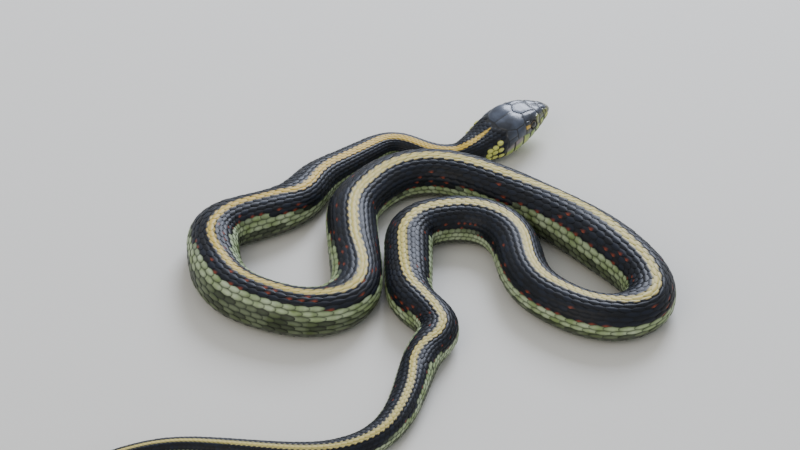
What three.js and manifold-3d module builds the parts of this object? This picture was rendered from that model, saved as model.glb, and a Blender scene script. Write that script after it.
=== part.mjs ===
// A garter snake at life size, lying on its belly in loose coils with the head raised a little.
// Millimetres, +Z up. The origin is on the floor, under the middle of the model's outline.
// The snake is one sweep along a route on the floor, parted into lengths by thin cuts.

import * as THREE from 'three';
import { mergeVertices } from 'three/addons/utils/BufferGeometryUtils.js';
import Module from 'manifold-3d';

// Sizes of the whole animal
const totalLength = 790;
const headLength = 28;
const headPartEnd = 30;
const neckEnd = 76;
const ventAt = 607;
const trunkLengths = 9;
const tailLengths = 3;
const cut = 0.3;

// The route: where the snout is, which way the body leads from it, and each bend
const snoutX = 80.94;
const snoutY = 97.82;
const firstHeading = 217;
const bends = [
  // at: middle of the bend along the snake, over: its length, turn: degrees to the left
  { at: 42.5, over: 32.6, turn: -72.8 },
  { at: 63.1, over: 24.0, turn: 81.6 },
  { at: 100.9, over: 24.0, turn: 24.2 },
  { at: 115.4, over: 35.7, turn: -44.8 },
  { at: 145.5, over: 25.2, turn: 69.7 },
  { at: 178.1, over: 54.5, turn: 63.8 },
  { at: 218.6, over: 56.3, turn: 115.8 },
  { at: 273.1, over: 24.0, turn: -32.0 },
  { at: 303.7, over: 73.5, turn: -90.9 },
  { at: 349.7, over: 125.0, turn: -23.1 },
  { at: 423.7, over: 70.4, turn: -164.2 },
  { at: 466.0, over: 49.9, turn: -49.6 },
  { at: 503.6, over: 63.4, turn: 106.1 },
  { at: 531.1, over: 25.3, turn: 69.2 },
  { at: 569.1, over: 24.0, turn: 41.8 },
  { at: 586.3, over: 24.4, turn: -76.8 },
  { at: 598.6, over: 25.7, turn: 21.6 },
  { at: 647.2, over: 74.9, turn: -85.0 },
  { at: 711.8, over: 45.9, turn: 32.4 },
  { at: 762.0, over: 36.0, turn: -24.0 },
];

// Profiles along the snake: pairs of distance from the snout and size there
const halfWidths = [
  [0, 1.9], [1.2, 3.1], [3.5, 4.2], [7, 5.7], [11, 7.0], [15, 7.9], [20, 8.5], [24.5, 8.4], [29, 7.3], [34, 6.0],
  [40, 4.9], [55, 4.85], [80, 6.2], [115, 8.3], [160, 9.05], [215, 8.8], [260, 8.9], [310, 8.75], [350, 8.95],
  [385, 10.05], [415, 8.7], [450, 8.2], [500, 8.55], [550, 8.3], [605, 6.25], [650, 4.75], [700, 3.55],
  [760, 2.05], [784, 1.1], [790, 0.6],
];
const headTops = [
  [0, 10.6], [1.2, 11.7], [3.5, 12.6], [7, 13.5], [11, 14.2], [16, 14.2], [21, 13.2], [27, 11.3], [34, 9.5], [44, 8.0],
];
const chinHeights = [[0, 8.4], [1.2, 7.6], [4, 6.1], [10, 3.6], [16, 1.7], [22, 0.7], [28, 0.3], [36, 0.1], [44, 0]];
const mouthHeights = [[-2, 9.6], [1.5, 9.2], [5, 8.3], [10, 6.3], [16, 4.2], [25, 2.2]];
// The top of the head leans to the right: rise in mm for each mm to the left, at full height
const headLeans = [[0, 0], [4, 0.1], [22, 0.1], [36, 0]];
const headBlendEnd = 44;

// The cross-section: a rounded loaf, a little wider than tall, on a flat belly
const heightOverWidth = 0.86;
const widestAt = 0.46;
const roundAbove = [[0, 2.3], [4, 2.8], [8, 3.5], [15, 3.5], [24, 2.8], [40, 2.1]];
const roundBelow = 2.7;
const bodySides = 16;
const headSides = 24;
const ringStep = 5;
const neckRingStep = 4;
const headRingStep = 1.4;

// Jaw and eyes
const jawEnd = 23.5;
const jawBlockHalfWidth = 14;
const jawBlockAhead = 2;
const jawBlockRings = 12;
const jawBlockFloor = -1;
const eyeAt = 10.7;
const eyeRadius = 1.75;
const eyeInset = 1.65;
const eyeHeight = 10.2;
const weldWithin = 1e-4;

const wasm = await Module();
wasm.setup();

// Smooth step from 0 to 1 with no kink at either end
function ease(t) {
  const u = THREE.MathUtils.clamp(t, 0, 1);
  return u - Math.sin(2 * Math.PI * u) / (2 * Math.PI);
}

function headingAt(s) {
  let degrees = firstHeading;
  for (const bend of bends) {
    degrees += bend.turn * ease((s - bend.at) / bend.over + 0.5);
  }
  return THREE.MathUtils.degToRad(degrees);
}

// The route is walked in short strides, and its places are kept
const stride = 0.5;
const walked = [new THREE.Vector2(snoutX, snoutY)];
for (let s = 0; s < totalLength; s += stride) {
  const heading = headingAt(s + stride / 2);
  const last = walked[walked.length - 1];
  walked.push(new THREE.Vector2(last.x + stride * Math.cos(heading), last.y + stride * Math.sin(heading)));
}

function placeAt(s) {
  const heading = headingAt(s);
  const index = THREE.MathUtils.clamp(Math.floor(s / stride), 0, walked.length - 2);
  const rest = s - index * stride;
  const from = walked[index];
  return {
    x: from.x + rest * Math.cos(heading),
    y: from.y + rest * Math.sin(heading),
    leftX: -Math.sin(heading),
    leftY: Math.cos(heading),
  };
}

// A smooth curve through a profile's pairs that never swings past them
function profileAt(pairs, s) {
  if (s <= pairs[0][0]) return pairs[0][1];
  if (s >= pairs[pairs.length - 1][0]) return pairs[pairs.length - 1][1];
  let i = 0;
  while (pairs[i + 1][0] < s) i += 1;
  const slope = (j) => (pairs[j + 1][1] - pairs[j][1]) / (pairs[j + 1][0] - pairs[j][0]);
  const tangent = (j) => {
    if (j === 0) return slope(0);
    if (j === pairs.length - 1) return slope(j - 1);
    const before = slope(j - 1);
    const after = slope(j);
    if (before * after <= 0) return 0;
    return (2 * before * after) / (before + after);
  };
  const span = pairs[i + 1][0] - pairs[i][0];
  const t = (s - pairs[i][0]) / span;
  const rise = pairs[i + 1][1] - pairs[i][1];
  const start = tangent(i) * span;
  const end = tangent(i + 1) * span;
  return pairs[i][1] + t * start + t * t * (3 * rise - 2 * start - end) + t * t * t * (start + end - 2 * rise);
}

function halfWidthAt(s) {
  return profileAt(halfWidths, s);
}

function bellyAt(s) {
  return profileAt(chinHeights, s);
}

function backAt(s) {
  const body = 2 * halfWidthAt(s) * heightOverWidth;
  if (s >= headBlendEnd) return body;
  const head = profileAt(headTops, s);
  const share = ease((s - headLength) / (headBlendEnd - headLength));
  return head + share * (body - head);
}

// One ring of points round the snake, with a flat edge under the belly
function ringAt(s, sides) {
  const place = placeAt(s);
  const halfWidth = halfWidthAt(s);
  const low = bellyAt(s);
  const high = backAt(s);
  const above = profileAt(roundAbove, s);
  const lean = profileAt(headLeans, s);
  const shape = [];
  for (let k = 0; k < sides; k += 1) {
    const angle = ((k + 0.5) / sides) * 2 * Math.PI;
    const c = Math.cos(angle);
    const d = Math.sin(angle);
    const power = 2 / (d >= 0 ? above : roundBelow);
    const share = d >= 0 ? 1 - widestAt : widestAt;
    shape.push([Math.sign(c) * Math.abs(c) ** power, widestAt + Math.sign(d) * share * Math.abs(d) ** power]);
  }
  const ups = shape.map((point) => point[1]);
  const lowest = Math.min(...ups);
  const tallest = Math.max(...ups);
  return shape.map(([side, up]) => {
    const lift = (up - lowest) / (tallest - lowest);
    return new THREE.Vector3(
      place.x + place.leftX * side * halfWidth,
      place.y + place.leftY * side * halfWidth,
      low + lift * (high - low) - lift * lean * side * halfWidth,
    );
  });
}

// A closed solid through a row of rings that all have the same number of points
function solidFromRings(rings) {
  const sides = rings[0].length;
  const points = rings.flat();
  const faces = [];
  for (let i = 0; i < rings.length - 1; i += 1) {
    for (let k = 0; k < sides; k += 1) {
      const a = i * sides + k;
      const b = i * sides + ((k + 1) % sides);
      faces.push(a, b, a + sides, b, b + sides, a + sides);
    }
  }
  const capRing = (ring, offset, turned) => {
    const middle = new THREE.Vector3();
    ring.forEach((point) => middle.addScaledVector(point, 1 / sides));
    points.push(middle);
    for (let k = 0; k < sides; k += 1) {
      const a = offset + k;
      const b = offset + ((k + 1) % sides);
      faces.push(...(turned ? [a, b, points.length - 1] : [b, a, points.length - 1]));
    }
  };
  capRing(rings[0], 0, false);
  capRing(rings[rings.length - 1], (rings.length - 1) * sides, true);
  const geometry = new THREE.BufferGeometry();
  geometry.setAttribute('position', new THREE.Float32BufferAttribute(points.flatMap((p) => p.toArray()), 3));
  geometry.setIndex(faces);
  return geometry;
}

function bodyLength(from, to, step, sides) {
  const count = Math.max(2, Math.round((to - from) / step));
  const rings = [];
  for (let i = 0; i <= count; i += 1) {
    rings.push(ringAt(from + ((to - from) * i) / count, sides));
  }
  return solidFromRings(rings);
}

// What lies under the mouth line, as a block that parts the lower jaw from the head
function jawBlock(grow) {
  const rings = [];
  const length = jawEnd + grow + jawBlockAhead;
  for (let i = 0; i <= jawBlockRings; i += 1) {
    const s = (length * i) / jawBlockRings - jawBlockAhead;
    const place = placeAt(s);
    const top = profileAt(mouthHeights, s) + grow;
    const corners = [[1, top], [-1, top], [-1, jawBlockFloor], [1, jawBlockFloor]];
    rings.push(corners.map(([side, up]) => new THREE.Vector3(
      place.x + place.leftX * side * jawBlockHalfWidth,
      place.y + place.leftY * side * jawBlockHalfWidth,
      up,
    )));
  }
  return solidFromRings(rings);
}

function eyeball(side, radius) {
  const place = placeAt(eyeAt);
  const out = side * (halfWidthAt(eyeAt) - eyeInset);
  const drop = out * profileAt(headLeans, eyeAt) * (eyeHeight - bellyAt(eyeAt)) / (backAt(eyeAt) - bellyAt(eyeAt));
  const geometry = new THREE.SphereGeometry(radius, 16, 12);
  geometry.rotateX(Math.PI / 2);
  geometry.translate(place.x + place.leftX * out, place.y + place.leftY * out, eyeHeight - drop);
  return geometry;
}

function toSolid(geometry) {
  const bare = geometry.clone();
  bare.deleteAttribute('normal');
  bare.deleteAttribute('uv');
  const merged = mergeVertices(bare, weldWithin);
  return new wasm.Manifold(new wasm.Mesh({
    numProp: 3,
    vertProperties: new Float32Array(merged.attributes.position.array),
    triVerts: new Uint32Array(merged.index.array),
  }));
}

function toGeometry(solid) {
  const mesh = solid.getMesh();
  const geometry = new THREE.BufferGeometry();
  geometry.setAttribute('position', new THREE.BufferAttribute(new Float32Array(mesh.vertProperties), 3));
  geometry.setIndex(new THREE.BufferAttribute(new Uint32Array(mesh.triVerts), 1));
  return geometry;
}

// Finishes: dark scaled skin, the paler jaw, and wet dark eyes
const snake = new THREE.Group();

function addPart(name, geometry, color, roughness) {
  geometry.computeVertexNormals();
  const material = new THREE.MeshStandardMaterial({ color, roughness, metalness: 0 });
  const mesh = new THREE.Mesh(geometry, material);
  mesh.name = name;
  snake.add(mesh);
}

const backColor = 0x20242a;
const headColor = 0x333842;
const jawColor = 0x9fae6c;
const eyeColor = 0x14120e;
const skinRoughness = 0.45;
const eyeRoughness = 0.08;

// Head, lower jaw and eyes
const skull = toSolid(bodyLength(0, headPartEnd, headRingStep, headSides));
const sockets = toSolid(eyeball(1, eyeRadius + cut)).add(toSolid(eyeball(-1, eyeRadius + cut)));
const upperHead = skull.subtract(toSolid(jawBlock(cut / 2))).subtract(sockets);
const lowerJaw = skull.intersect(toSolid(jawBlock(-cut / 2))).subtract(sockets);
addPart('head', toGeometry(upperHead), headColor, skinRoughness);
addPart('lower_jaw', toGeometry(lowerJaw), jawColor, skinRoughness);
addPart('eye_left', eyeball(-1, eyeRadius), eyeColor, eyeRoughness);
addPart('eye_right', eyeball(1, eyeRadius), eyeColor, eyeRoughness);

// Neck, trunk and tail, each length a cut's width short of the next
addPart('neck', bodyLength(headPartEnd + cut, neckEnd, neckRingStep, bodySides), backColor, skinRoughness);
for (let i = 0; i < trunkLengths; i += 1) {
  const each = (ventAt - neckEnd) / trunkLengths;
  const from = neckEnd + i * each + cut;
  addPart(`trunk_${i + 1}`, bodyLength(from, from + each - cut, ringStep, bodySides), backColor, skinRoughness);
}
for (let i = 0; i < tailLengths; i += 1) {
  const each = (totalLength - ventAt) / tailLengths;
  const from = ventAt + i * each + cut;
  addPart(`tail_${i + 1}`, bodyLength(from, from + each - cut, ringStep, bodySides), backColor, skinRoughness);
}

export default snake;
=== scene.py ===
import math
import bpy
import numpy as np
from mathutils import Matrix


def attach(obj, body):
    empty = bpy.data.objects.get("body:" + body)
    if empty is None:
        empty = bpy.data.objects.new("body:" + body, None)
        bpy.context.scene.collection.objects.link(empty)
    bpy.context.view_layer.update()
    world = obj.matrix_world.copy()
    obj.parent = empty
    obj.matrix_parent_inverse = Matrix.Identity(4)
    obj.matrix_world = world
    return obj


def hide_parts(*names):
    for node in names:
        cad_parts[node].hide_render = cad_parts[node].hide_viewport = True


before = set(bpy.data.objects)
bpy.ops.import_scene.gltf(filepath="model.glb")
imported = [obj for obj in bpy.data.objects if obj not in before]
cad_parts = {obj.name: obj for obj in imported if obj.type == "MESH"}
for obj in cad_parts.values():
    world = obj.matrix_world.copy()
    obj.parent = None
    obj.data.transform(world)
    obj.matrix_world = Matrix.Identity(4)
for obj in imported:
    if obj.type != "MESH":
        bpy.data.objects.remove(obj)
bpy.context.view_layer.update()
mm = 0.001
rng = np.random.default_rng(11)

# The route and the girth, the same numbers as the solids, in millimetres along the snake
route = {
    "snout": (80.94, 97.82),
    "heading": 217,
    "length": 790,
    # middle of the bend, its length, degrees to the left
    "bends": [
        (42.5, 32.6, -72.8), (63.1, 24.0, 81.6), (100.9, 24.0, 24.2), (115.4, 35.7, -44.8),
        (145.5, 25.2, 69.7), (178.1, 54.5, 63.8), (218.6, 56.3, 115.8), (273.1, 24.0, -32.0),
        (303.7, 73.5, -90.9), (349.7, 125.0, -23.1), (423.7, 70.4, -164.2), (466.0, 49.9, -49.6),
        (503.6, 63.4, 106.1), (531.1, 25.3, 69.2), (569.1, 24.0, 41.8), (586.3, 24.4, -76.8),
        (598.6, 25.7, 21.6), (647.2, 74.9, -85.0), (711.8, 45.9, 32.4), (762.0, 36.0, -24.0),
    ],
}
girth = {
    "halfWidths": [
        (0, 1.9), (1.2, 3.1), (3.5, 4.2), (7, 5.7), (11, 7.0), (15, 7.9), (20, 8.5), (24.5, 8.4), (29, 7.3),
        (34, 6.0), (40, 4.9), (55, 4.85), (80, 6.2), (115, 8.3), (160, 9.05), (215, 8.8), (260, 8.9),
        (310, 8.75), (350, 8.95), (385, 10.05), (415, 8.7), (450, 8.2), (500, 8.55), (550, 8.3),
        (605, 6.25), (650, 4.75), (700, 3.55), (760, 2.05), (784, 1.1), (790, 0.6),
    ],
    "headTops": [
        (0, 10.6), (1.2, 11.7), (3.5, 12.6), (7, 13.5), (11, 14.2), (16, 14.2), (21, 13.2), (27, 11.3),
        (34, 9.5), (44, 8.0),
    ],
    "chin": [
        (0, 8.4), (1.2, 7.6), (4, 6.1), (10, 3.6), (16, 1.7), (22, 0.7), (28, 0.3), (36, 0.1), (44, 0),
    ],
    "mouth": [(-2, 9.6), (1.5, 9.2), (5, 8.3), (10, 6.3), (16, 4.2), (25, 2.2)],
    "lean": [(0, 0), (4, 0.1), (22, 0.1), (36, 0)],
    "headEnd": 28,
    "blendEnd": 44,
    "vent": 607,
    "heightOverWidth": 0.86,
    "widestAt": 0.46,
    "roundAbove": [(0, 2.3), (4, 2.8), (8, 3.5), (15, 3.5), (24, 2.8), (40, 2.1)],
    "roundBelow": 2.7,
}


def ease(t):
    t = np.clip(t, 0, 1)
    return t - np.sin(2 * np.pi * t) / (2 * np.pi)


def smooth(low, high, x):
    t = np.clip((x - low) / (high - low), 0, 1)
    return t * t * (3 - 2 * t)


def hump(places, x):
    # 0 up to the first place, 1 between the middle two, 0 from the last one on
    return smooth(places[0], places[1], x) * (1 - smooth(places[2], places[3], x))


def headingAt(s):
    turned = sum(turn * ease((s - at) / over + 0.5) for at, over, turn in route["bends"])
    return np.radians(route["heading"] + turned)


def profileAt(pairs, s):
    # smooth curve through the pairs that never swings past them
    x, y = np.array(pairs, float).T
    slope = np.diff(y) / np.diff(x)
    before, after = slope[:-1], slope[1:]
    same = before * after > 0
    middle = np.where(same, 2 * before * after / np.where(same, before + after, 1), 0)
    tangent = np.concatenate([slope[:1], middle, slope[-1:]])
    s = np.clip(s, x[0], x[-1])
    i = np.clip(np.searchsorted(x, s, side="right") - 1, 0, len(x) - 2)
    span = x[i + 1] - x[i]
    t = (s - x[i]) / span
    rise = y[i + 1] - y[i]
    start, end = tangent[i] * span, tangent[i + 1] * span
    return y[i] + t * start + t * t * (3 * rise - 2 * start - end) + t ** 3 * (start + end - 2 * rise)


stride = 0.25
walkS = np.arange(0, route["length"] + stride, stride)
walkHeading = headingAt(walkS[:-1] + stride / 2)
walkX = route["snout"][0] + np.concatenate([[0], np.cumsum(np.cos(walkHeading) * stride)])
walkY = route["snout"][1] + np.concatenate([[0], np.cumsum(np.sin(walkHeading) * stride)])


def halfWidthAt(s):
    return profileAt(girth["halfWidths"], s)


def backAt(s):
    body = 2 * halfWidthAt(s) * girth["heightOverWidth"]
    share = ease((s - girth["headEnd"]) / (girth["blendEnd"] - girth["headEnd"]))
    head = profileAt(girth["headTops"], s)
    return np.where(s >= girth["blendEnd"], body, head + share * (body - head))


def coatDepth(s):
    # how far the skin lies under the solids' surface, thinner on the head and the tail's end
    return np.interp(s, [0, 20, 30, 60, 600, 700, 790], [0.16, 0.20, 0.26, 0.40, 0.40, 0.22, 0.08])


def loaf(turn, above):
    # the cross-section at an angle from the top: sideways and up, both from 0 to 1
    c, d = np.sin(turn), np.cos(turn)
    power = 2 / np.where(d >= 0, above, girth["roundBelow"])
    share = np.where(d >= 0, 1 - girth["widestAt"], girth["widestAt"])
    return np.sign(c) * np.abs(c) ** power, girth["widestAt"] + np.sign(d) * share * np.abs(d) ** power


# Even steps round the section: degrees measured along the skin, 0 on the back, 180 on the belly
tableTurn = np.linspace(0, np.pi, 721)


def evenArcs(above):
    side, up = loaf(tableTurn, above)
    step = np.hypot(np.diff(side), np.diff(up) * 2 * girth["heightOverWidth"])
    return 180 * np.concatenate([[0], np.cumsum(step)]) / step.sum()


headArcs, bodyArcs = evenArcs(2.7), evenArcs(2.1)
headUps = loaf(tableTurn, 2.7)[1]


def arcOfHeight(s, z):
    # where on the side of the head a height lies, in the same degrees
    low, high = profileAt(girth["chin"], s), backAt(s)
    return np.interp(-(z - low) / (high - low), -headUps, headArcs)


def skinPoint(s, arc, lift=0.0):
    # a point of the skin in metres; arc is positive on the snake's right, lift goes outwards
    depth = coatDepth(s) - lift
    wrapped = (arc + 180) % 360 - 180
    share = smooth(24, 40, s)
    turn = (1 - share) * np.interp(np.abs(wrapped), headArcs, tableTurn)
    turn = turn + share * np.interp(np.abs(wrapped), bodyArcs, tableTurn)
    side, up = loaf(np.where(wrapped < 0, -turn, turn), profileAt(girth["roundAbove"], s))
    heading = headingAt(s)
    half = halfWidthAt(s) - depth
    low = profileAt(girth["chin"], s) + depth
    high = backAt(s) - depth
    x = np.interp(s, walkS, walkX) - np.sin(heading) * side * half
    y = np.interp(s, walkS, walkY) + np.cos(heading) * side * half
    ahead = np.minimum(s, 0)
    x = x + np.cos(heading) * ahead
    y = y + np.sin(heading) * ahead
    z = low + up * (high - low) - up * profileAt(girth["lean"], s) * side * half
    return np.stack([x, y, z], -1) * mm


print("route laid out,", route["length"], "mm long")

# Markings, as amounts from 0 to 1 that the skin and the scales share.
# Places are mm from the snout and degrees round from the top, the snake's right side positive.
marks = {
    "centre": [
        (24, 4), (30, 7), (38, 14), (46, 9), (54, 3), (62, 5), (75, 10), (92, 9), (100, 15), (108, 21),
        (113, 18), (117, 9), (121, -1), (126, -5), (133, -5), (140, 1), (146, 5), (151, 0), (156, -4),
        (161, 0), (166, 8), (171, 14), (181, 17), (192, 16), (202, 10), (212, 4), (217, -3), (222, -13),
        (228, -18), (236, -16), (243, -10), (253, -2), (262, -3), (273, -8), (284, -9), (292, -6),
        (302, -3), (321, 1), (341, 5), (351, 12), (358, 17), (370, 18), (380, 16), (390, 11), (402, 7),
        (411, 8), (416, 14), (421, 17), (425, 12), (430, 2), (434, -7), (440, -11), (450, -12),
        (460, -9), (470, -12), (481, -17), (486, -18), (492, -14), (500, -6), (511, -2), (524, 0),
        (532, -2), (537, -10), (542, -16), (552, -14), (562, -6), (568, 5), (573, 13), (578, 9),
        (583, 5), (588, 14), (593, 17), (598, 6), (604, -8), (608, -10), (612, -3), (620, 8), (631, 11),
        (641, 17), (655, 14), (680, 6), (710, 0), (790, 0),
    ],
    # where the dark of the back ends on the right side and on the left
    "right": [
        (24, 92), (34, 90), (44, 84), (75, 84), (108, 82), (117, 75), (121, 68), (126, 60),
        (131, 55), (140, 59),
        (150, 54), (156, 46), (161, 41), (168, 40), (181, 41), (200, 39), (210, 36), (217, 33),
        (222, 33), (227, 36), (233, 41), (243, 50), (253, 64), (259, 74), (300, 70), (340, 72),
        (360, 84), (380, 82), (400, 76), (418, 80), (428, 77), (440, 73), (450, 69), (460, 70),
        (475, 74), (490, 82), (522, 82), (532, 77), (537, 70), (542, 61), (553, 60), (563, 57),
        (568, 57), (575, 66), (588, 80), (594, 82), (599, 72), (604, 60), (609, 52), (613, 55),
        (620, 60), (631, 70), (641, 76), (660, 80), (700, 75), (790, 75),
    ],
    "left": [
        (24, 74), (40, 72), (75, 66), (100, 60), (110, 58), (122, 74), (133, 78), (145, 70), (151, 62),
        (156, 54), (161, 47), (166, 42), (171, 36), (180, 33), (192, 33), (202, 36), (212, 45),
        (217, 52), (222, 62), (227, 70), (233, 77), (243, 82), (263, 80), (273, 88), (284, 94),
        (292, 96), (300, 93), (311, 86), (321, 84), (340, 74), (350, 67), (357, 64), (382, 60),
        (392, 61), (403, 64), (413, 67), (419, 62), (426, 52), (432, 46), (440, 56), (450, 66),
        (470, 76), (490, 80), (510, 72), (530, 70), (545, 82), (562, 82), (573, 72), (578, 65),
        (583, 62), (588, 56), (593, 49), (597, 45), (602, 60), (607, 70), (620, 64), (640, 58),
        (660, 66), (700, 75), (790, 75),
    ],
    # half the width of the back stripe in mm
    "stripeHalf": [
        (25, 0), (27, 0.35), (31, 0.85), (40, 1.2), (60, 1.4), (90, 1.3), (150, 1.25), (230, 1.45),
        (300, 1.7), (380, 1.6), (440, 1.45), (500, 1.55), (560, 1.5), (600, 1.2), (640, 1.1),
        (700, 0.7), (790, 0.12),
    ],
    "goldUntil": (95, 260),   # the stripe is golden to here and pale after
    "flankWide": 28,          # degrees from the top of the pale flank to the duller skin under it
    # the yellow patch behind the corner of the mouth: where it begins, is full, fades and ends
    "patchAlong": (24.2, 24.8, 30, 33),
    "patchRound": (98, 104, 124, 130),
    # red flecks: degrees over the flank, from and to, and the share of scales that have one
    "flecks": [(0, 12, 0.5), (12, 26, 0.34), (26, 44, 0.14)],
    "flecksFrom": (105, 135),
    "flecksUntil": (560, 650),
    # black blots on the duller skin: the share of scales that have one, and where they set in
    "blotShare": 0.32,
    "blotsFrom": (60, 90),
    "bellyEdge": 112,         # where the rows of scales end and the belly plates begin
    "rows": 19,
    "pitch": [
        (0, 1.0), (24, 1.6), (36, 1.7), (50, 1.9), (75, 2.3), (105, 3.0), (200, 3.6), (390, 3.9),
        (430, 3.4), (500, 3.1), (560, 2.8), (607, 2.3), (650, 1.9), (700, 1.5), (790, 0.9),
    ],
}


def rowsAt(s):
    tail = 2 * np.floor(np.interp(s, [607, 640, 690, 740, 790], [8.0, 6.6, 5.0, 3.6, 2.2])) + 1
    return np.where(s < girth["vent"], marks["rows"], tail)


def pitchAt(s):
    # distance from one scale to the next along a row
    return profileAt(marks["pitch"], s)


def arcOfRow(s, row):
    # row runs from -1 to 1 between the edges of the belly; the middle row follows the stripe
    return profileAt(marks["centre"], s) * (1 - np.abs(row)) + marks["bellyEdge"] * row


def markingsAt(s, arc, swell=1.0):
    arc = (arc + 180) % 360 - 180
    centre = profileAt(marks["centre"], s)
    right = profileAt(marks["right"], s) - centre
    left = profileAt(marks["left"], s) + centre
    away = np.abs(arc - centre)
    below = away - np.where(arc >= centre, right, left)
    half = profileAt(marks["stripeHalf"], s) * 60 / halfWidthAt(s) * swell
    stripe = (1 - smooth(half - 1.0, half + 1.2, away)) * smooth(25, 26, s)
    wide = marks["flankWide"]
    patch = hump(marks["patchAlong"], s) * hump(marks["patchRound"], np.abs(arc))
    flank = np.maximum(smooth(-1.5, 1.5, below) * smooth(27, 31, s), patch)
    # the zone under the pale flank: darker partly in its own dull olive and partly as painted shade on the
    # lower side of the body
    lower = smooth(wide - 3, wide + 3, below) * (1 - patch)
    return {
        "stripe": stripe, "gold": 1 - smooth(*marks["goldUntil"], s), "flank": flank, "lower": lower,
        "belly": smooth(marks["bellyEdge"] - 1, marks["bellyEdge"] + 1, np.abs(arc)), "patch": patch,
        "below": below,
    }


# One object from arrays of points and faces, with its amounts kept as point attributes
def makePiece(name, points, faces, amounts):
    mesh = bpy.data.meshes.new(name)
    mesh.from_pydata(points, [], faces)
    for label, values in amounts.items():
        layer = mesh.attributes.new(label, "FLOAT", "POINT")
        layer.data.foreach_set("value", np.ascontiguousarray(values, dtype=np.float32))
    mesh.update()
    piece = bpy.data.objects.new(name, mesh)
    bpy.context.scene.collection.objects.link(piece)
    bpy.ops.object.select_all(action="DESELECT")
    bpy.context.view_layer.objects.active = piece
    piece.select_set(True)
    return piece


# Plates of the head: outlines as (mm from the snout, degrees round from the middle of the top)
# None stands for the top of the lip plates at that place.
headPlates = {
    "internasal": [(1.0, 0), (3.5, 0), (3.8, 16), (3.5, 33), (2.6, 42), (1.2, 42), (1.3, 15)],
    "prefrontal": [(3.5, 0), (7.4, 0), (7.4, 23), (7.2, 38), (6.9, 50), (5.6, 50), (4.3, 48), (3.5, 33),
                   (3.8, 16)],
    "frontal": [(7.4, 0), (7.4, 23), (10.3, 19.5), (13.4, 17.5), (15.3, 0)],
    "supraocular": [(7.4, 23), (7.2, 38), (8.4, 46), (10.5, 51), (13.0, 49), (14.2, 45), (14.0, 31),
                    (13.4, 17.5), (10.3, 19.5)],
    "parietal": [(15.3, 0), (13.4, 17.5), (14.0, 31), (14.2, 45), (15.6, 52), (18.6, 51), (21.8, 38),
                 (23.6, 20), (23.3, 0)],
    "prenasal": [(1.2, 42), (2.6, 42), (2.7, None), (1.0, None)],
    "postnasal": [(2.6, 42), (3.5, 33), (4.3, 48), (4.3, None), (2.7, None)],
    "loreal": [(4.3, 48), (5.6, 50), (6.9, 50), (7.2, None), (4.3, None)],
    "preocular": [(7.2, 38), (8.4, 46), (9.0, 52), (9.1, None), (7.2, None), (6.9, 50)],
    "postocularHigh": [(12.4, 51), (13.0, 49), (14.2, 45), (14.6, 60), (12.4, 64)],
    "postocularMiddle": [(12.4, 64), (14.6, 60), (14.8, 75), (12.4, 78)],
    "postocularLow": [(12.4, 78), (14.8, 75), (14.9, None), (12.2, None)],
    "temporal": [(14.2, 45), (15.6, 52), (18.6, 51), (18.9, 75), (18.6, None), (14.9, None), (14.8, 75),
                 (14.6, 60)],
    "temporalHigh": [(18.6, 51), (21.8, 38), (23.0, 50), (22.8, 68), (18.9, 70)],
    "temporalLow": [(18.9, 70), (22.8, 68), (23.4, None), (18.6, None), (18.9, 75)],
    "chinShieldFront": [(2.8, 180), (8.6, 180), (9.0, 160), (7.4, 148), (3.2, 150)],
    "chinShieldRear": [(8.6, 180), (9.8, 174), (15.5, 168), (15.6, 152), (11.2, 146), (9.0, 160)],
}
midline = {"frontal"}  # plates that cross the middle of the head
lips = {
    "sutures": [1.0, 4.0, 6.8, 9.6, 12.6, 16.2, 20.4, 24.3],
    "heights": [1.4, 1.9, 2.1, 2.2, 3.0, 4.6, 5.3, 4.4],     # mm of the upper lip plates
    "lean": 0.45,
    "lowerHeight": 1.7,
    "blackBorder": (0.3, 0.75),    # mm from the hind suture over which its black fades
    "dusky": ("lipUpper5", "lipUpper6"),
    "duskFrom": (2.4, 4.4),        # mm over the mouth
}
head = {
    "step": 0.17,
    "sides": 208,
    "until": 31,
    "plateRise": 0.17,     # how far a plate stands over its sutures
    "bevel": 0.34,
    "roundPlates": 8.0,    # higher gives sharper corners
    "roundLips": 4.0,
    # golden at 1, olive at half
    "warmPlates": {
        "postocularMiddle": 1.0, "postocularLow": 0.5, "loreal": 0.5, "preocular": 0.5, "postnasal": 0.5,
        "prenasal": 0.5, "rostral": 0.5,
    },
    "crown": 0.10,         # how much a plate swells in its middle
    "crownFrom": (0.2, 1.4),
    "suture": (0.05, 0.28),    # mm from a plate's outline over which its black line fades
    "throatFrom": (118, 126),  # degrees, and mm from the snout where the belly plates take over
    "throatUntil": (15, 19),
    "gularLong": 1.9,      # the small scales of the throat
    "gularWide": 1.6,
    "gularRise": 0.14,
    "mouthEnd": 24.0,
    "mouthGroove": 0.42,
    "mouthWide": 0.34,
    # middle in degrees, reach in degrees, height or depth in mm; then where it lies along the head
    "brow": (54, 6, 0.26),
    "browAlong": (6.5, 8.8, 12.8, 14.6),
    "cheekHollow": (76, 12, 0.26),
    "hollowAlong": (3, 5, 7.6, 9.0),
    "eyeAt": 10.7,
    "eyeInset": 1.65,
    "eyeHeight": 10.3,
    "eyeOpening": 1.55,
    "socketDepth": 1.5,
    "socketRim": (0.42, 0.2, 0.10),    # distance from the opening, width, height
    "nostril": (2.65, 58, 0.34),
    "nostrilDepth": 0.55,
}


def degreeAt(s):
    # mm of skin for one degree round the head
    return 0.0166 * halfWidthAt(s)


def toFlat(s, arc):
    # plate outlines are compared in mm: degrees are worth less towards the snout
    return np.stack([np.asarray(s, float), arc * degreeAt(s)], -1)


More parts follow.
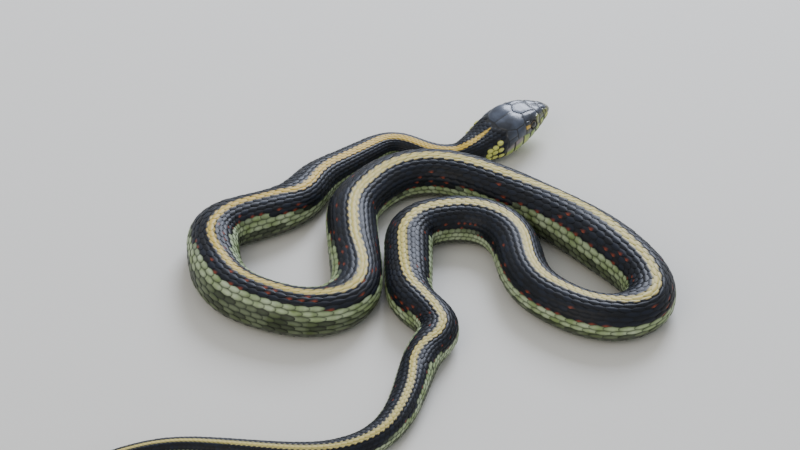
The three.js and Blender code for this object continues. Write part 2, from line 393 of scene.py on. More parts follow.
def insideAndEdge(points, corners, openMiddle, sharpness):
    # whether each point is in the outline, and how far it is from the nearest suture, round at the corners
    inside = np.zeros(len(points), bool)
    closeness = np.full(len(points), 1e-12)
    for i in range(len(corners)):
        a, b = corners[i], corners[(i + 1) % len(corners)]
        crosses = (a[1] > points[:, 1]) != (b[1] > points[:, 1])
        slope = (b[0] - a[0]) / (b[1] - a[1]) if b[1] != a[1] else 0
        inside ^= crosses & (points[:, 0] < a[0] + (points[:, 1] - a[1]) * slope)
        if openMiddle and a[1] == 0 and b[1] == 0:
            continue
        along = b - a
        t = np.clip(((points - a) @ along) / max(along @ along, 1e-9), 0, 1)
        gap = np.linalg.norm(points - a - t[:, None] * along, axis=1)
        closeness = closeness + np.exp(-sharpness * gap)
    return inside, np.maximum(-np.log(closeness) / sharpness, 0)


def mouthArc(s):
    return arcOfHeight(s, profileAt(girth["mouth"], s))


def lipTop(s):
    return float(mouthArc(s) - np.interp(s, lips["sutures"], lips["heights"]) / degreeAt(s))


def allPlates():
    # every plate of one side: name, corners, crosses the middle
    found = []
    for name, corners in headPlates.items():
        corners = [(s, lipTop(s) if arc is None else arc) for s, arc in corners]
        found.append((name, corners, name in midline))
    cuts, lean = lips["sutures"], lips["lean"]
    first = cuts[0]
    found.append(("rostral", [(-2, 0), (1.0, 0), (1.3, 15), (1.2, 42), (first, lipTop(first)),
                              (first, float(mouthArc(first))), (-2, float(mouthArc(0.0)))], True))
    for i in range(len(cuts) - 1):
        a, b = cuts[i], cuts[i + 1]
        atA, atB = float(mouthArc(a)), float(mouthArc(b))
        upper = [(a, lipTop(a)), (b, lipTop(b)), (b + lean, atB), (a + lean * (i > 0), atA)]
        found.append(("lipUpper%d" % i, upper, False))
        lower = [(a - lean, atA), (b - lean, atB), (b, atB + lips["lowerHeight"] / float(degreeAt(b))),
                 (a, atA + lips["lowerHeight"] / float(degreeAt(a)))]
        found.append(("lipLower%d" % i, lower, False))
    return found


def lipMarks(name, s, away, flat, outline):
    # the black hind border of an upper lip plate, and the dusk of the last two towards the top
    start, end = outline[1], outline[2]
    along = end - start
    t = np.clip(((flat - start) @ along) / (along @ along), 0, 1)
    gap = np.linalg.norm(flat - start - t[:, None] * along, axis=1)
    tall = (mouthArc(s) - away) * degreeAt(s)
    return 1 - smooth(*lips["blackBorder"], gap), smooth(*lips["duskFrom"], tall) * (name in lips["dusky"])


def platesSurface(s, away, flat):
    # the plates' lift in mm, and the amounts that colour them
    lift, edge = np.zeros(len(s)), np.ones(len(s))
    top, lip, warm, dusk = (np.zeros(len(s)) for k in range(4))
    covered = np.zeros(len(s), bool)
    for name, corners, openMiddle in allPlates():
        outline = toFlat(np.array([c[0] for c in corners]), np.array([c[1] for c in corners]))
        isLip = name.startswith(("lip", "chin"))
        warmth = head["warmPlates"].get(name, 0.0)
        sharpness = head["roundLips"] if isLip else head["roundPlates"]
        inside, nearest = insideAndEdge(flat, outline, openMiddle, sharpness)
        covered |= inside
        rise = smooth(0.0, head["bevel"], nearest)
        crown = head["crown"] * smooth(*head["crownFrom"], nearest)
        lift = np.where(inside, head["plateRise"] * rise + crown, lift)
        edge = np.where(inside, 1 - smooth(*head["suture"], nearest), edge)
        lip = np.where(inside, 1.0 if isLip else 0.0, lip)
        warm = np.where(inside, warmth, warm)
        top = np.where(inside, 0.0 if isLip or warmth else 1.0, top)
        if name.startswith("lipUpper"):
            border, dusky = lipMarks(name, s, away, flat, outline)
            edge = np.where(inside, np.maximum(edge, border), edge)
            dusk = np.where(inside, dusky, dusk)
    # the throat beyond the plates is pale, and set with small scales in staggered rows
    throat = smooth(*head["throatFrom"], away) * (1 - smooth(*head["throatUntil"], s))
    lip = np.maximum(lip, throat)
    across = (180 - away) * degreeAt(s) / head["gularWide"] + 0.5
    along = s / head["gularLong"] + 0.5 * (np.floor(across) % 2)
    inner = 0.56 - np.hypot(along % 1 - 0.5, across % 1 - 0.5)
    bare = ~covered & (throat > 0.5)
    lift = np.where(bare, head["gularRise"] * smooth(0.0, 0.3, inner), lift)
    edge = np.where(bare, 0.5 * (1 - smooth(0.02, 0.16, inner)), edge)
    return lift, edge, {"top": top, "lip": lip, "warm": warm, "dusk": dusk}


def headSurface(s, arc):
    # lift over the plain skin in mm, and the amounts that colour it
    away = np.abs(arc)
    flat = toFlat(s, away)
    lift, edge, amounts = platesSurface(s, away, flat)
    # mouth
    gap = np.abs(away - mouthArc(s)) * degreeAt(s)
    shut = 1 - smooth(head["mouthEnd"] - 1.5, head["mouthEnd"], s)
    groove = (1 - smooth(0.0, head["mouthWide"], gap)) * shut
    lift = lift - head["mouthGroove"] * groove
    edge = np.maximum(edge, smooth(0.35, 0.9, groove))
    # brow over the eye, and the hollow cheek before it
    middle, reach, high = head["brow"]
    lift = lift + high * np.exp(-((away - middle) / reach) ** 2) * hump(head["browAlong"], s)
    middle, reach, deep = head["cheekHollow"]
    lift = lift - deep * np.exp(-((away - middle) / reach) ** 2) * hump(head["hollowAlong"], s)
    # socket: a hollow under the eye; its inside and a band round the opening are painted black as painted
    # shade
    side = np.sign(arc) + (arc == 0)
    apart = skinPoint(s, arc) / mm - eyeCentre(side)
    axis = eyeAxis(side)
    along = (apart * axis).sum(1)
    reach = np.linalg.norm(apart - along[:, None] * axis, axis=1) + 9 * (along < 0)
    opening = head["eyeOpening"]
    hole = 1 - smooth(opening - 0.05, opening + 0.25, reach)
    away, wide, high = head["socketRim"]
    rim = np.exp(-((reach - opening - away) / wide) ** 2)
    lift = lift * (1 - hole) - head["socketDepth"] * hole + high * rim * (1 - hole)
    # painted shade: the hollow and a band round the eye's opening are darkened as if lying in the socket's
    # shadow
    edge = np.maximum(edge, hole)
    edge = np.maximum(edge, 0.85 * (1 - smooth(opening + 0.2, opening + 0.5, reach)))
    # nostril: a shallow pit, painted black as painted shade for the depth of the hole
    at, degrees, radius = head["nostril"]
    gap = np.linalg.norm(flat - toFlat(at, float(degrees)), axis=1)
    pit = 1 - smooth(radius * 0.5, radius * 1.2, gap)
    lift = lift - head["nostrilDepth"] * pit
    amounts["edge"] = np.maximum(edge, pit)
    return lift, amounts


def eyeCentre(side):
    at = head["eyeAt"]
    heading = float(headingAt(np.array(at, float)))
    out = side * (float(halfWidthAt(np.array(at, float))) - head["eyeInset"])
    x = np.interp(at, walkS, walkX) - np.sin(heading) * out
    y = np.interp(at, walkS, walkY) + np.cos(heading) * out
    low, high = float(profileAt(girth["chin"], at)), float(backAt(np.array(at)))
    drop = out * float(profileAt(girth["lean"], at)) * (head["eyeHeight"] - low) / (high - low)
    return np.stack([x, y, head["eyeHeight"] - drop], -1)


def eyeAxis(side):
    # the way an eye looks: sideways, a little up and a little forward
    heading = float(headingAt(np.array(head["eyeAt"])))
    x = -math.sin(heading) * side - 0.12 * math.cos(heading)
    y = math.cos(heading) * side - 0.12 * math.sin(heading)
    axis = np.stack([x, y, np.full(np.shape(side), 0.14)], -1)
    return axis / np.linalg.norm(axis, axis=-1, keepdims=True)


def outwards(s, arc):
    # unit normals of the skin
    ds, da = 0.4, 1.5
    forward = skinPoint(s + ds, arc) - skinPoint(s - ds, arc)
    around = skinPoint(s, arc + da) - skinPoint(s, arc - da)
    normal = np.cross(forward, around)
    return normal / np.maximum(np.linalg.norm(normal, axis=-1, keepdims=True), 1e-12)


# Where the head's plates give way to scales, by degrees round the head
headEdge = {
    "arc": [0, 20, 36, 50, 68, 88, 95, 121, 125, 140, 180],
    "at": [23.3, 23.6, 22.0, 23.0, 22.9, 23.4, 24.3, 24.3, 16.2, 15.6, 15.6],
}


# The skin: one closed hose from snout to tail, fine on the head, plainer under the scales
skinSettings = {"bodyStep": 1.3, "noseRings": (0.9, 0.7, 0.45, 0.2), "noseRound": 0.7}


def unwrapSkin(piece, s, arc):
    # the head fills the lower third of the map, and the body lies over it in four strips
    mesh = piece.data
    corner = np.zeros(len(mesh.loops), dtype=np.int32)
    mesh.loops.foreach_get("vertex_index", corner)
    starts = np.zeros(len(mesh.polygons), dtype=np.int32)
    totals = np.zeros(len(mesh.polygons), dtype=np.int32)
    mesh.polygons.foreach_get("loop_start", starts)
    mesh.polygons.foreach_get("loop_total", totals)
    owner = np.repeat(np.arange(len(starts)), totals)
    firstS, firstArc = s[corner[starts]][owner], arc[corner[starts]][owner]
    around = arc[corner] - 360 * np.round((arc[corner] - firstArc) / 360)
    onHead = firstS < head["until"] - 0.1
    stripLength = (route["length"] - head["until"]) / 4
    strip = np.clip(np.floor((firstS - head["until"]) / stripLength), 0, 3)
    headU = (s[corner] + 2) / (head["until"] + 5)
    bodyU = (s[corner] - head["until"] - strip * stripLength + 3) / (stripLength + 9)
    u = np.where(onHead, headU, bodyU)
    v = (around + 192) / 384
    v = np.where(onHead, 0.005 + 0.32 * v, 0.335 + 0.165 * (strip + v))
    # the closing faces at the two ends get small round patches of their own
    cap = (totals > 4)[owner]
    turn = np.radians(arc[corner])
    u = np.where(cap, 0.5 + 0.003 * np.cos(turn) + 0.01 * (firstS > 100), u)
    v = np.where(cap, 0.3295 + 0.003 * np.sin(turn), v)
    layer = mesh.uv_layers.new(name="OFBake")
    layer.data.foreach_set("uv", np.ascontiguousarray(np.stack([u, v], -1), dtype=np.float32).ravel())


def makeSkin():
    stations = [(s, head["sides"]) for s in np.arange(0, head["until"], head["step"])]
    halfSides = head["sides"] // 2
    stations += [(head["until"] + 0.6, halfSides), (head["until"] + 1.4, halfSides // 2)]
    rest = np.arange(head["until"] + 2.6, route["length"], skinSettings["bodyStep"])
    stations += [(s, halfSides // 2) for s in rest] + [(route["length"], halfSides // 2)]
    s = np.concatenate([np.full(sides, at) for at, sides in stations])
    arc = np.concatenate([np.arange(sides) * 360 / sides for at, sides in stations])
    arc = (arc + 180) % 360 - 180
    points = skinPoint(s, arc)
    normal = outwards(np.maximum(s, 0.5), arc)
    onHead = s < head["until"]
    lift = np.zeros(len(s))
    amounts = markingsAt(s, arc)
    headLift, headAmounts = headSurface(s[onHead], arc[onHead])
    fade = 1 - smooth(head["until"] - 4, head["until"] - 1, s[onHead])
    lift[onHead] = headLift * fade
    for label in headAmounts:
        amounts[label] = np.zeros(len(s))
        amounts[label][onHead] = headAmounts[label]
    amounts["edge"][~onHead] = 1.0
    behind = np.interp(np.abs(arc), headEdge["arc"], headEdge["at"])
    for label in ("flank", "stripe", "belly", "patch", "lower"):
        amounts[label] = amounts[label] * (s > behind)
    points = points + normal * lift[:, None] * mm
    faces = []
    start = 0
    for i in range(len(stations) - 1):
        here, there = stations[i][1], stations[i + 1][1]
        after = start + here
        for k in range(there):
            if here == there:
                a, b = start + k, start + (k + 1) % here
                faces.append((a, after + k, after + (k + 1) % there, b))
            else:
                a, b, c = start + 2 * k, start + 2 * k + 1, start + (2 * k + 2) % here
                faces.append((a, after + k, b))
                faces.append((b, after + k, after + (k + 1) % there, c))
        start = after
    # rounded end of the nose, and a plain end on the tail
    points = list(map(tuple, points))
    extra = {label: list(values) for label, values in amounts.items()}
    sides = head["sides"]
    extraS, extraArc = list(s), list(arc)
    first = np.array(points[:sides])
    middle = first.mean(axis=0)
    heading = float(headingAt(np.array(0.0)))
    forward = -np.array([math.cos(heading), math.sin(heading), 0])
    ring = list(range(sides))
    for size in skinSettings["noseRings"]:
        out = forward * skinSettings["noseRound"] * math.sqrt(1 - size * size) * mm
        begin = len(points)
        points += [tuple(p) for p in middle + (first - middle) * size + out]
        for label in extra:
            extra[label] += extra[label][:sides]
        extraS += [-1.5 * (1 - size)] * sides
        extraArc += extraArc[:sides]
        for k in range(sides):
            faces.append((begin + k, ring[k], ring[(k + 1) % sides], begin + (k + 1) % sides))
        ring = list(range(begin, begin + sides))
    faces.append(tuple(ring))
    last = start
    faces.append(tuple(reversed(range(last, last + stations[-1][1]))))
    amounts = {label: np.array(values) for label, values in extra.items()}
    piece = makePiece("snakeSkin", points, faces, amounts)
    unwrapSkin(piece, np.array(extraS), np.array(extraArc))
    bpy.ops.object.mode_set(mode="EDIT")
    bpy.ops.mesh.select_all(action="SELECT")
    bpy.ops.mesh.normals_make_consistent(inside=False)
    bpy.ops.object.mode_set(mode="OBJECT")
    bpy.ops.object.shade_smooth()
    return piece


skin = makeSkin()
print("skin made:", len(skin.data.polygons), "faces")

# A back scale: rows of points from its root to its free tip, in parts of the pitch and of the row
scaleShape = {
    "along": [-0.50, -0.24, 0.06, 0.36, 0.60, 0.74],
    "half": [0.26, 0.50, 0.60, 0.52, 0.33, 0.13],
    "across": [-1, -0.52, 0, 0.52, 1],
    "rise": (0.03, 0.28),    # mm over the skin at the root and at the tip
    "keel": 0.19,
    "thick": 0.15,
}
# A belly plate: wide, smooth and low
plateShape = {
    "along": [-0.50, -0.05, 0.40, 0.60],
    "across": np.linspace(-1, 1, 13),
    "rise": (0.02, 0.20),
    "thick": 0.12,
}


def rimOf(alongCount, acrossCount):
    top = [(0, k) for k in range(acrossCount)]
    right = [(i, acrossCount - 1) for i in range(1, alongCount)]
    bottom = [(alongCount - 1, k) for k in range(acrossCount - 2, -1, -1)]
    left = [(i, 0) for i in range(alongCount - 2, 0, -1)]
    return [i * acrossCount + k for i, k in top + right + bottom + left]


def templateFaces(alongCount, acrossCount):
    faces = []
    for i in range(alongCount - 1):
        for k in range(acrossCount - 1):
            a = i * acrossCount + k
            faces.append((a, a + acrossCount, a + acrossCount + 1, a + 1))
    rim = rimOf(alongCount, acrossCount)
    base = alongCount * acrossCount
    count = len(rim)
    for j in range(count):
        faces.append((rim[j], rim[(j + 1) % count], base + (j + 1) % count, base + j))
    faces.append(tuple(base + j for j in range(count)))
    return faces, rim


def buildScales(name, centreS, centreRow, reachS, reachRow, shape, arcOf, amountsOf, strips):
    # every scale is the same template, laid on the skin at its own place
    along = np.array(shape["along"])
    across = np.array(shape["across"])
    half = np.array(shape.get("half", np.ones(len(along))))
    p = np.repeat(along, len(across))
    q = (half[:, None] * across[None, :]).ravel()
    inner = np.tile(np.abs(across), len(along))
    faces, rim = templateFaces(len(along), len(across))
    low, high = shape["rise"]
    t = (p - along[0]) / (along[-1] - along[0])
    h = low + (high - low) * t
    keel = shape.get("keel", 0)
    ridge = np.sin(np.pi * np.clip(t * 0.86 + 0.1, 0, 1))
    h = h + keel * (1 - inner) ** 1.3 * ridge - 0.03 * inner * (keel > 0)
    p = np.concatenate([p, p[rim]])
    q = np.concatenate([q, q[rim]])
    h = np.concatenate([h, h[rim] - shape["thick"]])
    topEdge = np.maximum(inner ** shape.get("rimPower", 2), smooth(0.80, 1.0, t))
    edge = np.concatenate([topEdge, np.ones(len(rim))])
    s = centreS[:, None] + p[None, :] * reachS[:, None]
    row = centreRow[:, None] + q[None, :] * reachRow[:, None]
    size = np.minimum(1.0, 0.25 + 0.75 * reachS / 3.7)
    jitter = 1 + 0.10 * rng.standard_normal(len(centreS))
    flatS = s.ravel()
    arc = arcOf(flatS, row.ravel())
    points = skinPoint(flatS, arc)
    normal = outwards(flatS, arc)
    lift = (h[None, :] * (size * jitter)[:, None]).ravel()
    points = points + normal * lift[:, None] * mm
    perScale = len(p)
    allFaces = []
    for c in range(len(centreS)):
        o = c * perScale
        allFaces += [tuple(o + v for v in face) for face in faces]
    ownS, ownRow = np.repeat(centreS, perScale), np.repeat(centreRow, perScale)
    ownP, ownQ = np.tile(p, len(centreS)), np.tile(q, len(centreS))
    amounts = amountsOf(flatS, arc, row.ravel(), ownS, ownRow, ownP, ownQ)
    amounts["edge"] = np.tile(edge, len(centreS))
    tone = rng.random(len(centreS))
    amounts["tone"] = np.repeat(tone, perScale)
    piece = makePiece(name, points, allFaces, amounts)
    bakeMap(piece, centreS, centreRow, p, q, strips)
    bpy.ops.object.shade_smooth_by_angle(angle=math.radians(50))
    return piece


def bakeMap(piece, centreS, centreRow, p, q, strips):
    # each scale is a small patch at its root's place on the skin's own unwrap, cut into strips and stacked
    patch, margin = 0.003, 0.004
    along = (centreS - centreS.min()) / np.ptp(centreS) * strips * 0.99999
    across = (centreRow - centreRow.min()) / max(np.ptp(centreRow), 1e-6)
    u = margin + (1 - 2 * margin) * (along - np.floor(along))
    fill = 1 if strips == 1 else 0.8    # stacked strips keep a gap between them
    v = margin + (1 - 2 * margin) * (np.floor(along) + across * fill) / max(strips - 0.2, 1)
    spreadP = ((p - p.min()) / np.ptp(p) - 0.5) * patch
    spreadQ = ((q - q.min()) / np.ptp(q) - 0.5) * patch
    uv = np.stack([(u[:, None] + spreadP[None, :]).ravel(), (v[:, None] + spreadQ[None, :]).ravel()], -1)
    layer = piece.data.uv_layers.new(name="OFBake")
    corner = np.zeros(len(piece.data.loops), dtype=np.int32)
    piece.data.loops.foreach_get("vertex_index", corner)
    layer.data.foreach_set("uv", np.ascontiguousarray(uv[corner], dtype=np.float32).ravel())


def scaleStations(low, high):
    # places along the snake, one pitch apart
    found = [15.0]
    while found[-1] < route["length"] - 1.2:
        found.append(found[-1] + float(pitchAt(np.array(found[-1]))))
    found = np.array(found)
    return found[(found >= low) & (found < high)]


def backAmounts(s, arc, row, ownS, ownRow, p, q):
    # the stripe's edges bulge with each scale, and flanks are coloured a whole scale at a time
    amounts = markingsAt(s, arc, 1 + 0.16 * np.cos(np.pi * p / 0.6))
    whole = markingsAt(ownS, arcOfRow(ownS, ownRow))
    for label in ("flank", "lower", "patch", "below"):
        amounts[label] = whole[label]
    amounts["belly"] = np.zeros(len(s))
    # red flecks lie at the root of a scale's lower side, thickest just over the flank
    chance = (np.sin(ownS * 12.9898 + ownRow * 7823.3) * 43758.5453) % 1
    over = -whole["below"]
    often = np.zeros(len(s))
    for low, high, share in marks["flecks"]:
        often = np.where((over >= low) & (over < high), share, often)
    often = often * smooth(*marks["flecksFrom"], ownS) * (1 - smooth(*marks["flecksUntil"], ownS))
    lowerSide = smooth(0.20, 0.42, q * np.sign(ownRow + 1e-9))
    beside = lowerSide * smooth(-0.30, -0.16, p) * (1 - smooth(0.10, 0.30, p))
    amounts["fleck"] = (chance < often) * beside
    # black blots where the pale flank turns dull
    blotted = (chance > 1 - marks["blotShare"]) * smooth(*marks["blotsFrom"], ownS)
    amounts["spot"] = whole["lower"] * (1 - whole["patch"]) * blotted
    return amounts


# Big round pale scales behind the corner of the mouth, in mm from the snout and degrees
cheek = {
    "places": [(26, 58), (28, 67), (30, 72), (26.3, 81), (28.4, 84), (30.6, 88), (26.2, 105), (28.5, 104),
               (30.8, 106)],
    "long": 2.2,
    "wide": 2.3,
    "clear": 1.35,    # other scales keep this far off, in mm
}
cheekShape = {
    "along": [-0.5, -0.36, 0, 0.34, 0.5],
    "half": [0.18, 0.40, 0.52, 0.42, 0.18],
    "across": [-1, -0.62, 0, 0.62, 1],
    "rise": (0.10, 0.34),
    "keel": 0.75,
    "thick": 0.3,
    "rimPower": 5,
}


def onCheek(s, arc):
    gaps = [np.hypot(s - at, (abs(arc) - degrees) * float(degreeAt(at))) for at, degrees in cheek["places"]]
    return min(gaps) < cheek["clear"]


def cheekAmounts(s, arc, row, ownS, ownRow, p, q):
    amounts = markingsAt(s, arc)
    for label in ("stripe", "lower", "belly"):
        amounts[label] = np.zeros(len(s))
    for label in ("flank", "patch"):
        amounts[label] = np.ones(len(s))
    return amounts


def makeCheekScales(name):
    places = [(s, side * arc) for side in (1, -1) for s, arc in cheek["places"]]
    centreS = np.array([s for s, arc in places])
    centreArc = np.array([arc for s, arc in places])
    reachS = np.full(len(places), cheek["long"])
    reachArc = cheek["wide"] / degreeAt(centreS)
    return buildScales(name, centreS, centreArc, reachS, reachArc, cheekShape,
                       lambda s, arc: arc, cheekAmounts, 1)


def makeBackScales(name, low, high):
    stations = scaleStations(low, high)
    centreS, centreRow, reachRow = [], [], []
    for at in stations:
        count = int(rowsAt(np.array(at)))
        pitch = float(pitchAt(np.array(at)))
        for j in range(-(count // 2), count // 2 + 1):
            s = at + (0.5 * pitch if j % 2 else 0)
            row = 2 * j / count
            arc = abs(float(arcOfRow(np.array(s), row)))
            platesEnd = np.interp(arc, headEdge["arc"], headEdge["at"])
            if s < platesEnd + 0.42 * pitch or s > route["length"] - 1.5 or onCheek(s, arc):
                continue
            centreS.append(s)
            centreRow.append(row)
            reachRow.append(2 / count)
    centreS = np.array(centreS)
    return buildScales(name, centreS, np.array(centreRow), pitchAt(centreS), np.array(reachRow), scaleShape,
                       arcOfRow, backAmounts, 1)


def bellyArc(s, row):
    # row runs from -1 to 1 across the belly, from the left edge to the right
    return 180 - row * (183 - marks["bellyEdge"])


def bellyAmounts(s, arc, row, ownS, ownRow, p, q):
    amounts = markingsAt(s, arc)
    for label in ("flank", "fleck", "stripe", "patch", "lower"):
        amounts[label] = np.zeros(len(s))
    amounts["belly"] = np.ones(len(s))
    # a dark spot near each end of a plate
    away = np.abs(row)
    nearEnd = smooth(0.70, 0.76, away) * (1 - smooth(0.86, 0.92, away))
    amounts["spot"] = nearEnd * (1 - smooth(0.0, 0.3, p))
    return amounts


def makeBellyPlates(name, low, high):
    centreS, centreRow, reachRow = [], [], []
    for at in scaleStations(low, high):
        # under the tail the plates are in pairs
        sides = (0,) if at < girth["vent"] else (-0.5, 0.5)
        for side in sides:
            centreS.append(at + 0.4 * side)
            centreRow.append(float(side))
            reachRow.append(0.5 if side else 1.0)
    centreS = np.array(centreS)
    return buildScales(name, centreS, np.array(centreRow), pitchAt(centreS), np.array(reachRow), plateShape,
                       bellyArc, bellyAmounts, 10)


coat = [
    makeBackScales("backScalesNeck", 15, 150),
    makeBackScales("backScalesFront", 150, 300),
    makeBackScales("backScalesMiddle", 300, 450),
    makeBackScales("backScalesRear", 450, 607),
    makeBackScales("backScalesTail", 607, 790),
    makeBellyPlates("bellyPlates", 16.5, 788),
    makeCheekScales("cheekScales"),
]
print("scales made:", sum(len(piece.data.polygons) for piece in coat), "faces")


# Colours are sRGB hex, turned to linear
def linear(code):
    values = [int(code[i:i + 2], 16) / 255 for i in (1, 3, 5)]
    return tuple(v / 12.92 if v <= 0.04045 else ((v + 0.055) / 1.055) ** 2.4 for v in values) + (1.0,)


def addNode(tree, kind, settings=None, links=None):
    # settings: a socket's name or number, or a property with a leading dot; links: socket to output
    made = tree.nodes.new(kind)
    for key, value in (settings or {}).items():
        if isinstance(key, str) and key.startswith("."):
            setattr(made, key[1:], value)
        else:
            made.inputs[key].default_value = value
    for key, output in (links or {}).items():
        tree.links.new(output, made.inputs[key])
    return made


finish = {
    "dark": "#0B0D11",
    "darkBlue": "#141B28",
    "cream": "#CDB868",
    "golden": "#D6AC38",
    "flankPale": "#B9C7A0",
    "flankOlive": "#7F9258",
    # dark olive of the lower flank: partly its own colour, partly painted shade
    "lower": "#394128",
    "bellyGrey": "#8A957C",
    "fleck": "#98452A",
    "between": "#0A0B0D",
    "plate": "#3F4757",
    "plateDark": "#1F232C",
    "lip": "#C4C455",
    "lipGreen": "#8FA84E",
    "dusk": "#7D6B78",
    "warm": "#868A40",
    "gilt": "#CDA53A",
    "patch": "#CFCF6E",
}


def mixColor(tree, base, over, amount):
    # base and over are outputs or hex codes
    made = addNode(tree, "ShaderNodeMix", {".data_type": "RGBA", ".clamp_factor": True})
    for socket, value in ((6, base), (7, over)):
        if isinstance(value, str):
            made.inputs[socket].default_value = linear(value)
        else:
            tree.links.new(value, made.inputs[socket])
    tree.links.new(amount, made.inputs[0])
    return made.outputs[2]


def amountOf(tree, label):
    return addNode(tree, "ShaderNodeAttribute", {".attribute_name": label}).outputs["Fac"]


def multiply(tree, a, b):
    made = addNode(tree, "ShaderNodeMath", {".operation": "MULTIPLY"})
    for socket, value in ((0, a), (1, b)):
        if isinstance(value, (int, float)):
            made.inputs[socket].default_value = value
        else:
            tree.links.new(value, made.inputs[socket])
    return made.outputs[0]


def snakeMaterial(name, sheen, rough, shine):
    # keratin scales: satin, dark and faintly blue, with the stripes painted by the shared amounts
    material = bpy.data.materials.new(name)
    material.use_nodes = True
    tree = material.node_tree
    shader = tree.nodes["Principled BSDF"]
    place = addNode(tree, "ShaderNodeTexCoord").outputs["Object"]
    # blotches about 6 mm across, and grain about 0.25 mm across
    blotch = addNode(tree, "ShaderNodeTexNoise", {"Scale": 1 / 0.006, "Detail": 3.0}, {"Vector": place})
    grain = addNode(tree, "ShaderNodeTexNoise", {"Scale": 1 / 0.00025, "Detail": 2.0}, {"Vector": place})
    blotchy = addNode(tree, "ShaderNodeMapRange", {"From Min": 0.38, "From Max": 0.62},
                      {"Value": blotch.outputs["Fac"]}).outputs[0]
    tone = amountOf(tree, "tone")
    rim = amountOf(tree, "edge")
    dark = mixColor(tree, finish["dark"], finish["darkBlue"], tone)
    # flanks: pale green to olive, each scale with a black rim, darker towards the belly: partly the skin's
    # own dull olive, partly painted shade on the body's lower side
    flank = mixColor(tree, finish["flankOlive"], finish["flankPale"], blotchy)
    flank = mixColor(tree, flank, finish["flankPale"], multiply(tree, tone, 0.4))
    flank = mixColor(tree, flank, finish["lower"], multiply(tree, amountOf(tree, "lower"), 0.75))
    spot = amountOf(tree, "spot")
    flank = mixColor(tree, flank, finish["between"], multiply(tree, spot, 0.55))
    flank = mixColor(tree, flank, finish["patch"], amountOf(tree, "patch"))
    belly = mixColor(tree, finish["bellyGrey"], finish["between"], multiply(tree, spot, 0.85))
    color = mixColor(tree, dark, flank, amountOf(tree, "flank"))
    color = mixColor(tree, color, belly, amountOf(tree, "belly"))
    color = mixColor(tree, color, finish["between"], multiply(tree, rim, 0.8))
    # the stripe runs over skin and scales alike, with only faint rims
    stripe = mixColor(tree, finish["cream"], finish["golden"], amountOf(tree, "gold"))
    stripe = mixColor(tree, stripe, finish["flankOlive"], multiply(tree, rim, 0.45))
    color = mixColor(tree, color, stripe, amountOf(tree, "stripe"))
    color = mixColor(tree, color, finish["fleck"], amountOf(tree, "fleck"))
    # head: blue-black plates above, yellow-green lips with black borders
    plate = mixColor(tree, finish["plateDark"], finish["plate"], blotchy)
    color = mixColor(tree, color, plate, amountOf(tree, "top"))
    lip = mixColor(tree, finish["lipGreen"], finish["lip"], blotchy)
    lip = mixColor(tree, lip, finish["dusk"], multiply(tree, amountOf(tree, "dusk"), 0.9))
    color = mixColor(tree, color, lip, amountOf(tree, "lip"))
    # plates before and behind the eye: olive at half an amount, golden at the whole
    warmth = amountOf(tree, "warm")
    golden = addNode(tree, "ShaderNodeMapRange", {"From Min": 0.6, "From Max": 0.9},
                     {"Value": warmth}).outputs[0]
    warmed = addNode(tree, "ShaderNodeMapRange", {"From Min": 0.0, "From Max": 0.45},
                     {"Value": warmth}).outputs[0]
    olive = mixColor(tree, finish["plateDark"], finish["warm"], blotchy)
    color = mixColor(tree, color, mixColor(tree, olive, finish["gilt"], golden), warmed)
    plates = addNode(tree, "ShaderNodeMath", {".operation": "MAXIMUM"},
                     {0: amountOf(tree, "top"), 1: amountOf(tree, "lip")}).outputs[0]
    plates = addNode(tree, "ShaderNodeMath", {".operation": "MAXIMUM"},
                     {0: plates, 1: warmed}).outputs[0]
    suture = multiply(tree, rim, plates)
    color = mixColor(tree, color, finish["between"], multiply(tree, suture, 0.95))
    tree.links.new(color, shader.inputs["Base Color"])
    roughness = addNode(tree, "ShaderNodeMapRange", {"To Min": rough - 0.05, "To Max": rough + 0.08},
                        {"Value": blotch.outputs["Fac"]}).outputs[0]
    tree.links.new(roughness, shader.inputs["Roughness"])
    bump = addNode(tree, "ShaderNodeBump", {"Strength": 0.15, "Distance": 0.00006},
                   {"Height": grain.outputs["Fac"]})
    tree.links.new(bump.outputs["Normal"], shader.inputs["Normal"])
    shader.inputs["IOR"].default_value = 1.54
    shader.inputs["Specular IOR Level"].default_value = shine
    shader.inputs["Coat Weight"].default_value = sheen
    shader.inputs["Coat Roughness"].default_value = 0.18
    return material


skinKeratin = snakeMaterial("keratinPlates", 0.45, 0.34, 0.34)
scaleKeratin = snakeMaterial("keratinScales", 0.0, 0.42, 0.24)
skin.data.materials.append(skinKeratin)
for piece in coat:
    piece.data.materials.append(scaleKeratin)


# Eyes: a clear hard scale over a dark iris, with a round pupil ringed in gold
eyeSettings = {
    "radius": 1.75,
    "segments": 48,
    "rings": 32,
    # from the middle of the pupil outwards, 1 is a quarter turn: pupil, gold ring, brown iris, dark rim
    "stops": [(0.0, "#040404"), (0.40, "#040404"), (0.43, "#7C6630"), (0.47, "#3F2E18"), (0.54, "#231910"),
              (0.66, "#21180E"), (0.78, "#080706")],
}


def eyeMaterial():
    material = bpy.data.materials.new("spectacleOverIris")
    material.use_nodes = True
    tree = material.node_tree
    shader = tree.nodes["Principled BSDF"]
    away = amountOf(tree, "fromPupil")
    rampNode = addNode(tree, "ShaderNodeValToRGB", links={"Fac": away})
    ramp = rampNode.color_ramp
    stops = eyeSettings["stops"]
    ramp.elements[0].position, ramp.elements[0].color = stops[0][0], linear(stops[0][1])
    ramp.elements[1].position, ramp.elements[1].color = stops[-1][0], linear(stops[-1][1])
    for position, code in stops[1:-1]:
        ramp.elements.new(position).color = linear(code)
    tree.links.new(rampNode.outputs["Color"], shader.inputs["Base Color"])
    shader.inputs["Roughness"].default_value = 0.12
    shader.inputs["Coat Weight"].default_value = 0.5
    shader.inputs["Coat Roughness"].default_value = 0.03
    shader.inputs["IOR"].default_value = 1.45
    return material


irisMaterial = eyeMaterial()


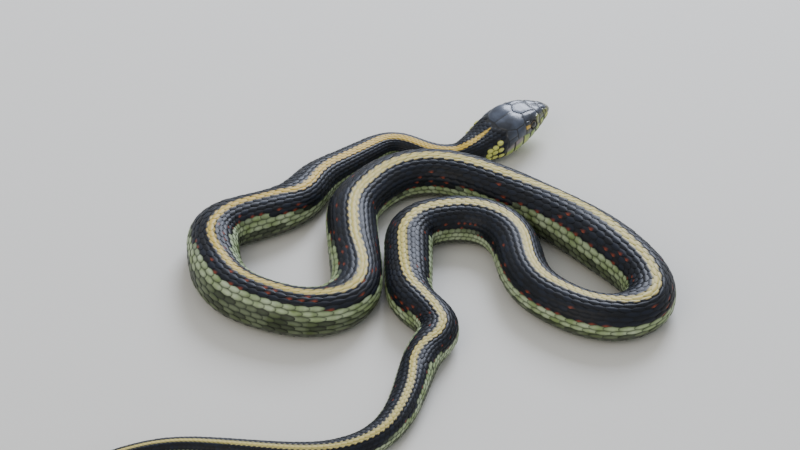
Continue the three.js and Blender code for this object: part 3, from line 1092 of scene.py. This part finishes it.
def makeEye(name, side, node):
    centre = eyeCentre(np.array(float(side))) * mm
    bpy.ops.object.select_all(action="DESELECT")
    bpy.ops.mesh.primitive_uv_sphere_add(segments=eyeSettings["segments"], ring_count=eyeSettings["rings"],
                                         radius=eyeSettings["radius"] * mm, location=tuple(centre))
    eye = bpy.context.active_object
    eye.name = name
    bpy.ops.object.transform_apply(location=True, rotation=True, scale=True)
    bpy.ops.object.shade_smooth()
    axis = eyeAxis(np.array(float(side)))
    spots = np.array([v.co for v in eye.data.vertices]) - centre
    angle = np.arccos(np.clip(spots @ axis / np.linalg.norm(spots, axis=1), -1, 1)) / (np.pi / 2)
    layer = eye.data.attributes.new("fromPupil", "FLOAT", "POINT")
    layer.data.foreach_set("value", angle.astype(np.float32))
    eye.data.materials.append(irisMaterial)
    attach(eye, "root")
    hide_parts(node)
    return eye


makeEye("eyeballRight", 1, "eye_right")
makeEye("eyeballLeft", -1, "eye_left")
print("eyes set")

flesh = ["head", "lower_jaw", "neck"]
flesh += ["trunk_%d" % i for i in range(1, 10)]
flesh += ["tail_%d" % i for i in range(1, 4)]
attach(skin, "root")
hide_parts(*flesh)
for piece in coat:
    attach(piece, "root")

# Floor, light and camera
studio = {
    "floor": "#DEDBD3",
    "floorSize": 6.0,
    "world": "#EEF2F8",
    "worldStrength": 0.75,
    "lookAt": (28.94, 40.32),    # a place on the floor, in mm
    "elevation": 37,
    "distance": 1035,
    "lens": 135,
}
bpy.ops.object.select_all(action="DESELECT")
bpy.ops.mesh.primitive_plane_add(size=studio["floorSize"], location=(0, 0, 0))
floor = bpy.context.active_object
floor.name = "studioFloor"
paint = bpy.data.materials.new("matteFloorPaint")
paint.use_nodes = True
paint.node_tree.nodes["Principled BSDF"].inputs["Base Color"].default_value = linear(studio["floor"])
paint.node_tree.nodes["Principled BSDF"].inputs["Roughness"].default_value = 0.85
floor.data.materials.append(paint)

world = bpy.data.worlds.new("softRoom")
bpy.context.scene.world = world
world.use_nodes = True
world.node_tree.nodes["Background"].inputs["Color"].default_value = linear(studio["world"])
world.node_tree.nodes["Background"].inputs["Strength"].default_value = studio["worldStrength"]


def addLight(name, place, size, power, color):
    data = bpy.data.lights.new(name, "AREA")
    data.size = size
    data.energy = power
    data.color = linear(color)[:3]
    lamp = bpy.data.objects.new(name, data)
    lamp.location = place
    away = np.array(place)
    lamp.rotation_euler = (math.atan2(math.hypot(away[0], away[1]), away[2]), 0,
                           math.atan2(away[1], away[0]) + math.pi / 2)
    bpy.context.scene.collection.objects.link(lamp)


addLight("keyBox", (0.30, 0.95, 0.70), 0.55, 18.0, "#E4ECFF")
addLight("fillBox", (-0.6, -0.8, 0.9), 0.9, 4.0, "#FFF3E2")

lens = bpy.data.cameras.new("photoCamera")
lens.lens = studio["lens"]
lens.sensor_width = 36
lens.clip_start = 0.01
camera = bpy.data.objects.new("photoCamera", lens)
down = math.radians(studio["elevation"])
lookX, lookY = studio["lookAt"]
away, high = studio["distance"] * math.cos(down), studio["distance"] * math.sin(down)
camera.location = (lookX * mm, (lookY - away) * mm, high * mm)
camera.rotation_euler = (math.pi / 2 - down, 0, 0)
bpy.context.scene.collection.objects.link(camera)
bpy.context.scene.camera = camera
print("studio set")
